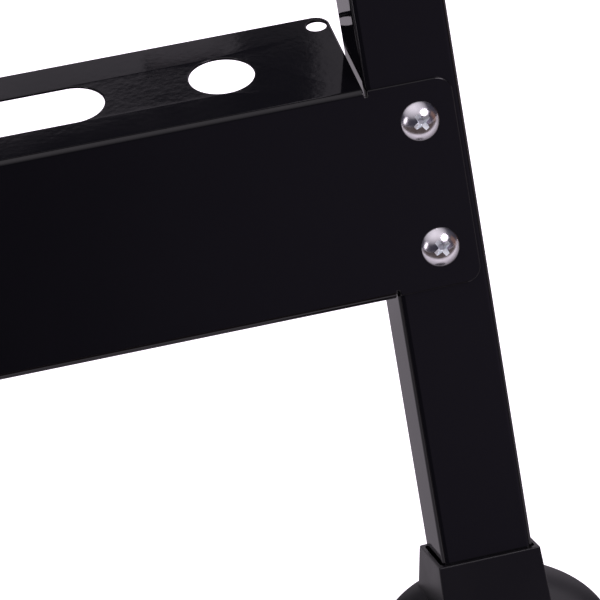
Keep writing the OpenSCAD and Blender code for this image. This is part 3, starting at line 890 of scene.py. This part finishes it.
def foot_sleeve(mouth):
    """The drafted sleeve from inside the base up to its rounded mouth."""
    front, back = (
        leg_frame() @ Vector((0, sign * (LEG_T / 2 + SLEEVE_WALL), mouth)) for sign in (-1, 1)
    )
    front_y = front.y - (front.z - SLEEVE_FOOT) * math.tan(SPLAY + SLEEVE_LEAN)
    half_w, half_d = LEG_W / 2 + SLEEVE_WALL + SLEEVE_DRAFT, (back.y - front_y) / 2
    middle_y = (back.y + front_y) / 2
    outline = box_outline(half_w, half_d, SLEEVE_R)
    bottom = [Vector((LEG_X + x, middle_y + y, SLEEVE_FOOT)) for x, y in outline]
    top = leg_loop(SLEEVE_WALL, SLEEVE_WALL, mouth, SLEEVE_R)
    loops = [[b.lerp(t, k / 12) for b, t in zip(bottom, top)] for k in range(12)]
    for k in range(5):
        turn = math.radians(90) * k / 4
        grow = SLEEVE_WALL - SLEEVE_EDGE * (1 - math.cos(turn))
        loops.append(leg_loop(grow, grow, mouth - SLEEVE_EDGE * (1 - math.sin(turn)), SLEEVE_R))
    return loft(loops)


def leg_pocket(mouth):
    """The space for the leg: a close fit, flared sideways at the mouth."""
    tube_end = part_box("leg_front_right")[0].z / MM
    low = -(PIVOT.z - tube_end - LEG_T / 2 * math.sin(SPLAY)) / math.cos(SPLAY) - 0.3
    fit = POCKET_CLEAR
    # Growth sideways, growth to the front and back, height
    levels = ((fit, fit, low), (fit, fit, mouth - 4), (MOUTH_GAP * 0.4, fit, mouth - 2.2))
    levels += ((MOUTH_GAP, 0.14, mouth - 0.6), (MOUTH_GAP + 0.3, 0.3, mouth + 1))
    return loft([leg_loop(grow_x, grow_y, z, LEG_R + fit) for grow_x, grow_y, z in levels])


def add_feet():
    """Base, sleeve and the leg's pocket, made once and mirrored to the four corners."""
    mouth = -WEB_DROP - SLEEVE_DROP
    centre_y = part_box("foot_front_right")[0].y / MM + FOOT_R
    base = foot_base().moved(at(LEG_X, centre_y, 0))
    foot = boolean(boolean(base, foot_sleeve(mouth), "UNION"), leg_pocket(mouth), "DIFFERENCE")
    for name, body, place in SIDES:
        for side, end in ENDS:
            shell = foot.moved(place @ (Matrix.Identity(4) if end > 0 else mirrored(0)))
            add_piece(f"moulded_foot_{name}_{side}", shell, body, "moulded_plastic", [f"foot_{name}_{side}"])


def add_plugs():
    """Moulded plugs in the legs' upper ends: a soft-edged cap and the shank inside the tube."""
    cap = plate(tube_outline(-PLUG_INSET), [], PLUG_CAP_T, PLUG_EDGE, 4).moved(at(0, 0, PLUG_CAP_T))
    shank = plate(tube_outline(-LEG_WALL - PLUG_CLEAR), [], PLUG_DEPTH, RIM_EDGE)
    cap.add_shell(shank, at(0, 0, CAP_SINK))
    for name, body, place in SIDES:
        plugs = Shell()
        for _, end in ENDS:
            plugs.add_shell(cap, place @ leg_frame() @ at(end * LEG_X, 0, LEG_TOP))
        add_piece(f"tube_plugs_{name}", plugs, body, "moulded_plastic", [f"leg_plugs_{name}"])


def leg_rivet(seat, head):
    """A rivet through a link, its layer gap and the leg tube, domed at both ends."""
    lower_head = [(r, -seat - h) for r, h in reversed(head)]
    upper_head = [(r, LEG_W + h) for r, h in head]
    return turned([*lower_head, (RIVET_R, -seat + 0.1), (RIVET_R, LEG_W - 0.1), *upper_head])


def add_braces():
    """Flat links, the two halves of each middle rivet, and the leg rivets and spacers that hold the links."""
    hinge = Vector(joints["brace_front_right_swing"]["pos_m"]) / MM
    half, z = -hinge.y, hinge.z
    outline = arc((-half, 0), LINK_W / 2, 90, 270, 24) + arc((0, 0), LINK_W / 2, -90, 90, 24)
    link = plate(outline, [hole(-half, 0, RIVET_R + 0.05), hole(0, 0, RIVET_R)], LINK_T, LINK_EDGE)
    head = dome_profile(RIVET_HEAD_D, RIVET_HEAD_H, 12)
    half_rivet = turned([(0, -LINK_T), (RIVET_R, -LINK_T), (RIVET_R, -0.1), *head])
    to_x = Matrix.Rotation(math.radians(90), 4, "Y")
    for name, body, place in SIDES:
        offset = LAYER_GAP if name == "front" else 2 * LAYER_GAP + LINK_T
        full_rivet = leg_rivet(offset + LINK_T + LAYER_GAP, head)
        rivets, spacers = Shell(), Shell()
        for side, end in ENDS:
            outer, brace = INNER_X - offset, f"brace_{name}_{side}"
            mirror_end = Matrix.Identity(4) if end > 0 else mirrored(0)
            shell = link.moved(place @ mirror_end @ at(outer, 0, z) @ facing("X"))
            add_piece(f"flat_link_{name}_{side}", shell, brace, "coated_steel", [f"brace_link_{name}_{side}"])
            face, turn = (outer, to_x) if name == "front" else (outer - LINK_T, to_x.inverted())
            shell = half_rivet.moved(mirror_end @ at(face, 0, z) @ turn)
            add_piece(f"link_rivet_{name}_{side}", shell, brace, "zinc_steel", [f"brace_rivet_{name}_{side}"])
            on_leg = place @ mirror_end @ at(INNER_X, -half, z) @ to_x
            rivets.add_shell(full_rivet, on_leg)
            if name == "rear":
                reach = offset - LAYER_GAP
                ring = turned(ring_profile(SPACER_R, RIVET_R, reach, SPACER_EDGE), closed=True)
                spacers.add_shell(ring, on_leg @ at(0, 0, -reach))
        add_piece(f"pin_rivets_{name}", rivets, body, "zinc_steel", [f"leg_rivets_{name}"])
        if spacers.points:
            add_piece("link_spacers_rear", spacers, body, "zinc_steel", ["brace_spacers_rear"])


def keep_out_of_reflections():
    """The photographed shelf mirrors an empty room, so what stands behind its right end isn't mirrored."""
    behind = ["leg_rear_right"]
    behind += [f"{kind}_{name}_right" for kind in ("flat_link", "link_rivet") for name in ("front", "rear")]
    for name in behind:
        bpy.data.objects[name].visible_glossy = False


add_shelves()
add_screws()
add_pivots()
add_beam()
add_brackets()
add_caps()
add_feet()
add_plugs()
add_braces()
keep_out_of_reflections()

# ---- Studio ----

TARGET = leg_frame() @ Vector((INNER_X, -LEG_T / 2, -WEB_DROP))
CAMERA_OFFSET = Vector((-157.02, -692.12, 529.48))
CAMERA_LOOK = Vector((0.14328, 0.78951, -0.59678))
CAMERA_UP = Vector((0.19916, 0.56766, 0.79881))
CAMERA_LENS = 169.40
ROOM_WALL, ROOM_CEILING = (0.038, 0.036, 0.052), (0.9, 0.84, 0.92)
ROOM_UP, ROOM_RISE = (-0.15, -0.05, 0.99), (0.6, 1.0)
GLOW, GLOW_TOWARDS, GLOW_RISE = (0.22, 0.19, 0.27), (0.489, -0.847, 0.208), (0.878, 1.0)
BACKDROP = (0.96, 0.95, 0.96)
# The floor's glow in reflections rises from the shelf to the back, and again in front of the feet
FLOOR_NEAR, FLOOR_BEHIND, FLOOR_NEAR_Y = 0.24, 0.42, (-0.2, -0.1)
FLOOR_FRONT, FLOOR_FRONT_Y = 0.42, (-0.46, -0.38)
FLOOR_SEEN = 1.4           # further glow where the camera looks straight at the floor
FLOOR_HALF, FLAG_HALF, FLAG_FAR_Y, FLAG_EDGE_Y, FLAG_LIFT = 12, 4, -6, -0.52, 0.002
CARD_ROUGHNESS = 0.9
STUDIO_TINT, WARM_TINT = (0.98, 0.9, 1.0), (1.0, 0.5, 0.3)
# Soft lights: name, azimuth and elevation, distance, size, radiance, roll, shape, tint.
# The sweeps stand far off, where the flange mirrors them.
PANELS = (
    ("key", (132.7, 49.6), 1.6, (0.86, 0.66), 5.6, 0, "ELLIPSE", STUDIO_TINT),
    ("strip_left", (-113.6, 20.4), 1.6, (0.34, 0.85), 2.2, 0, "ELLIPSE", STUDIO_TINT),
    ("warm_card", (105.0, 8.0), 1.6, (0.5, 1.2), 0.17, 0, "RECTANGLE", WARM_TINT),
    ("sweep_left", (-0.58, 22.93), 10, (2.59, 3.53), 0.43, 6, "RECTANGLE", STUDIO_TINT),
    ("sweep_middle", (10.1, 23.3), 10, (0.31, 2.9), 0.1, 0, "RECTANGLE", STUDIO_TINT),
    ("sweep_right", (13.1, 30.0), 10, (0.6, 6.4), 0.31, 0, "RECTANGLE", STUDIO_TINT),
    ("fill_right", (31.0, 30.0), 10, (4.9, 6.4), 0.75, 0, "RECTANGLE", STUDIO_TINT),
)


def add_camera():
    """The photograph's viewpoint, placed from the shelf's end on the right-hand leg."""
    data = bpy.data.cameras.new("camera")
    data.lens = CAMERA_LENS
    data.sensor_width = 36
    camera = bpy.data.objects.new("camera", data)
    bpy.context.scene.collection.objects.link(camera)
    back = -CAMERA_LOOK.normalized()
    right = CAMERA_UP.cross(back).normalized()
    turn = Matrix((right, back.cross(right), back)).transposed().to_4x4()
    camera.matrix_world = Matrix.Translation((TARGET + CAMERA_OFFSET) * MM) @ turn
    bpy.context.scene.camera = camera


def add_panel(name, towards, distance, size, radiance, roll, shape, tint):
    """A soft light facing the camera's target, which the camera itself doesn't see.

    Azimuth runs clockwise from +Y seen from above. Angles are in degrees, the distance and size in metres.
    """
    data = bpy.data.lights.new(name, "AREA")
    data.shape = shape
    data.size, data.size_y = size
    area = size[0] * size[1] * (math.pi / 4 if shape == "ELLIPSE" else 1)
    data.energy = radiance * math.pi * area
    data.color = tint
    light = bpy.data.objects.new(name, data)
    light.visible_camera = False
    bpy.context.scene.collection.objects.link(light)
    az, el = (math.radians(angle) for angle in towards)
    direction = Vector((math.sin(az) * math.cos(el), math.cos(az) * math.cos(el), math.sin(el)))
    facing_target = direction.to_track_quat("Z", "Y").to_matrix().to_4x4()
    rolled = facing_target @ Matrix.Rotation(math.radians(roll), 4, "Z")
    light.matrix_world = Matrix.Translation(TARGET * MM + direction * distance) @ rolled


def stage_plane(name, half_width, y0, y1, z):
    """A level rectangle that belongs to the stage, in metres."""
    corners = [(x * half_width, y, z) for x, y in ((-1, y0), (1, y0), (1, y1), (-1, y1))]
    mesh = bpy.data.meshes.new(name)
    mesh.from_pydata(corners, [], [(0, 1, 2, 3)])
    plane = bpy.data.objects.new(name, mesh)
    bpy.context.scene.collection.objects.link(plane)
    return plane


def add_floor():
    """A plain pale floor, bright enough to wash out. Reflections see it dimmer."""
    floor = stage_plane("floor", FLOOR_HALF, -FLOOR_HALF, FLOOR_HALF, 0)
    n = Nodes("studio_floor")
    n.shader.inputs["Base Color"].default_value = (0.2, 0.19, 0.2, 1)
    n.shader.inputs["Roughness"].default_value = CARD_ROUGHNESS
    n.shader.inputs["Emission Color"].default_value = (*STUDIO_TINT, 1)
    split = n.add("ShaderNodeSeparateXYZ")
    n.join(n.coord, split.inputs["Vector"])
    glow = n.spread(split.outputs["Y"], FLOOR_NEAR, FLOOR_BEHIND, *FLOOR_NEAR_Y)
    for more in (
        n.spread(split.outputs["Y"], FLOOR_FRONT, 0, *FLOOR_FRONT_Y),
        n.spread(n.add("ShaderNodeLightPath").outputs["Is Camera Ray"], 0, FLOOR_SEEN, 0, 1),
    ):
        total = n.add("ShaderNodeMath", operation="ADD")
        n.join(glow, total.inputs[0])
        n.join(more, total.inputs[1])
        glow = total.outputs["Value"]
    n.join(glow, n.shader.inputs["Emission Strength"])
    floor.data.materials.append(n.material)


def add_flag():
    """A dark card on the floor in front, out of the picture, that keeps the front faces deep black."""
    flag = stage_plane("flag", FLAG_HALF, FLAG_FAR_Y, FLAG_EDGE_Y, FLAG_LIFT)
    flag.visible_camera = False
    flag.visible_shadow = False
    n = Nodes("flag_card")
    n.shader.inputs["Base Color"].default_value = (0.1, 0.075, 0.06, 1)
    n.shader.inputs["Roughness"].default_value = CARD_ROUGHNESS
    flag.data.materials.append(n.material)


def add_world():
    """A dim room with a pale patch of ceiling overhead and a faint glow in front.

    Direction alone decides the brightness. The camera sees a pale backdrop instead.
    """
    world = bpy.data.worlds.new("studio")
    world.use_nodes = True
    tree = world.node_tree
    coord = tree.nodes.new("ShaderNodeTexCoord").outputs["Generated"]
    colour = ROOM_WALL
    for patch, towards, rise in ((ROOM_CEILING, ROOM_UP, ROOM_RISE), (GLOW, GLOW_TOWARDS, GLOW_RISE)):
        along = tree.nodes.new("ShaderNodeVectorMath")
        along.operation = "DOT_PRODUCT"
        along.inputs[1].default_value = towards
        tree.links.new(coord, along.inputs[0])
        fade = tree.nodes.new("ShaderNodeMapRange")
        fade.inputs["From Min"].default_value, fade.inputs["From Max"].default_value = rise
        tree.links.new(along.outputs["Value"], fade.inputs["Value"])
        colour = world_mix(tree, fade.outputs["Result"], colour, patch)
    seen = tree.nodes.new("ShaderNodeLightPath").outputs["Is Camera Ray"]
    colour = world_mix(tree, seen, colour, BACKDROP)
    tree.links.new(colour, tree.nodes["Background"].inputs["Color"])
    bpy.context.scene.world = world


def world_mix(tree, factor, under, over):
    """Mixes a plain colour over a colour or a socket."""
    blend = tree.nodes.new("ShaderNodeMix")
    blend.data_type = "RGBA"
    tree.links.new(factor, blend.inputs["Factor"])
    if isinstance(under, tuple):
        blend.inputs["A"].default_value = (*under, 1)
    else:
        tree.links.new(under, blend.inputs["A"])
    blend.inputs["B"].default_value = (*over, 1)
    return blend.outputs["Result"]


add_camera()
add_world()
add_floor()
add_flag()
for panel in PANELS:
    add_panel(*panel)
bpy.context.scene.view_settings.view_transform = "Standard"
